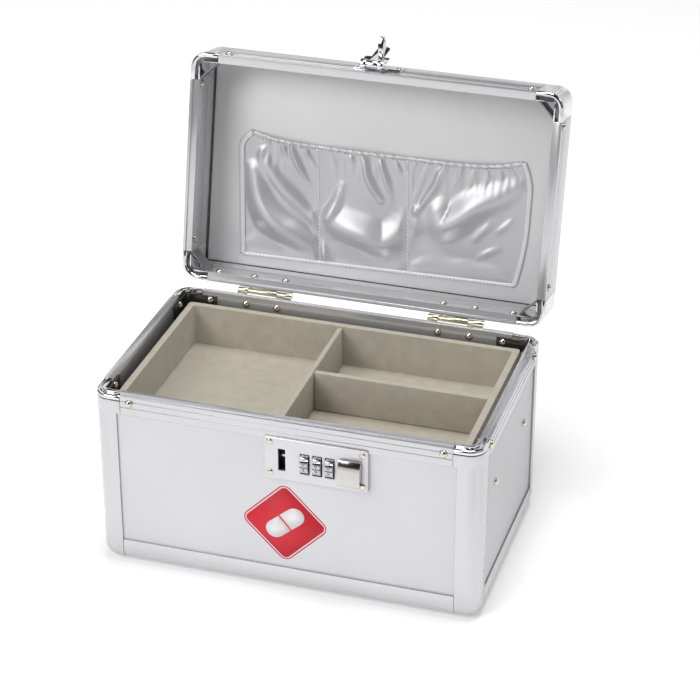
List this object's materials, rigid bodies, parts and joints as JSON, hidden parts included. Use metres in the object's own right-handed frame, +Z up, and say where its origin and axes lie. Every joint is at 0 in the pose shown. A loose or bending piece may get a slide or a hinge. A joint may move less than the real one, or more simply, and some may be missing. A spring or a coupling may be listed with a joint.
{
  "type": "medication lock box",
  "caption": "Lockable medicine case with a hinged lid, combination lock and hasp, lift-out divided tray, lid pocket and carry handle.",
  "frame": {"origin": "under the middle of the base, on the surface that the case stands on", "axes": "+X to the right, -Y out of the front with the lock, +Z up; the lid stands open behind"},
  "size_m": [0.291, 0.2708, 0.3404],
  "materials": {
    "silver_board": "hardboard faced with silver laminate",
    "edge_alloy": "satin anodised extrusion",
    "plated_corner": "bright plated",
    "chrome": "bright plated",
    "dark_steel": "dark lacquered sheet",
    "yellow_steel": "yellow passivated",
    "lock_steel": "satin pressed sheet",
    "cast_zinc": "as cast",
    "spring_steel": "drawn wire and strip",
    "grey_felt": "flocked board",
    "grey_satin": "satin cloth on card",
    "silver_vinyl": "soft silver vinyl",
    "black_plastic": "moulded"
  },
  "bodies": {
    "base": {"panel_front": "silver_board", "panel_right": "silver_board", "panel_rear": "silver_board", "panel_left": "silver_board", "panel_floor": "silver_board", "post_front_left": "edge_alloy", "post_front_right": "edge_alloy", "post_rear_right": "edge_alloy", "post_rear_left": "edge_alloy", "sill_front": "edge_alloy", "sill_right": "edge_alloy", "sill_rear": "edge_alloy", "sill_left": "edge_alloy", "rim_front": "edge_alloy", "rim_right": "edge_alloy", "rim_rear": "edge_alloy", "rim_left": "edge_alloy", "rim_corner_front_left": "plated_corner", "rim_corner_front_right": "plated_corner", "rim_corner_rear_right": "plated_corner", "rim_corner_rear_left": "plated_corner", "bracket_front_left": "dark_steel", "bracket_front_right": "dark_steel", "bracket_rear_right": "dark_steel", "bracket_rear_left": "dark_steel", "tray_ledge_left": "dark_steel", "tray_ledge_right": "dark_steel", "hinge_left_base": "yellow_steel", "hinge_right_base": "yellow_steel", "lock_plate": "lock_steel", "lock_housing": "cast_zinc", "dial_shaft": "spring_steel", "return_spring": "spring_steel", "detent_spring": "spring_steel"},
    "lid": {"lid_panel": "silver_board", "lid_frame_front": "edge_alloy", "lid_frame_right": "edge_alloy", "lid_frame_rear": "edge_alloy", "lid_frame_left": "edge_alloy", "lid_corner_front_left": "plated_corner", "lid_corner_front_right": "plated_corner", "lid_corner_rear_right": "plated_corner", "lid_corner_rear_left": "plated_corner", "lid_liner": "grey_satin", "lid_pocket": "silver_vinyl", "hinge_left_lid": "yellow_steel", "hinge_right_lid": "yellow_steel", "hasp_base": "chrome", "handle_bracket_left": "chrome", "handle_bracket_right": "chrome"},
    "hasp": {"hasp_flap": "chrome"},
    "dial_1": {"dial_1": "chrome"},
    "dial_2": {"dial_2": "chrome"},
    "dial_3": {"dial_3": "chrome"},
    "release": {"release_slide": "chrome"},
    "tray": {"tray_shell": "grey_felt", "tray_long_divider": "grey_felt", "tray_cross_divider": "grey_felt"},
    "handle": {"handle_bail": "black_plastic"}
  },
  "joints": [
    {"name": "lid_hinge", "type": "hinge", "parent": "base", "child": "lid", "pos_m": [0, 0.0925, 0.144], "axis": [-1, 0, 0], "range_deg": [-102.5, 0]},
    {"name": "hasp_swing", "type": "hinge", "parent": "lid", "child": "hasp", "pos_m": [-0.00075, 0.12924, 0.32821], "axis": [-1, 0, 0], "range_deg": [-167, 0]},
    {"name": "dial_1_turn", "type": "hinge", "parent": "base", "child": "dial_1", "pos_m": [0.01645, -0.0863, 0.1119], "axis": [1, 0, 0], "continuous": true},
    {"name": "dial_2_turn", "type": "hinge", "parent": "base", "child": "dial_2", "pos_m": [0.02575, -0.0863, 0.1119], "axis": [1, 0, 0], "continuous": true},
    {"name": "dial_3_turn", "type": "hinge", "parent": "base", "child": "dial_3", "pos_m": [0.03505, -0.0863, 0.1119], "axis": [1, 0, 0], "continuous": true},
    {"name": "release_slide", "type": "slide", "parent": "base", "child": "release", "axis": [1, 0, 0], "range_m": [0, 0.004], "stiffness_N_per_m": 400, "springref_m": -0.002, "deforming": ["return_spring"]},
    {"name": "tray_lift", "type": "slide", "parent": "base", "child": "tray", "axis": [0, 0, 1], "range_m": [0, 0.12]},
    {"name": "handle_swing", "type": "hinge", "parent": "lid", "child": "handle", "pos_m": [0, 0.1627, 0.22318], "axis": [1, 0, 0], "range_deg": [-12.5, 77.5]}
  ]
}
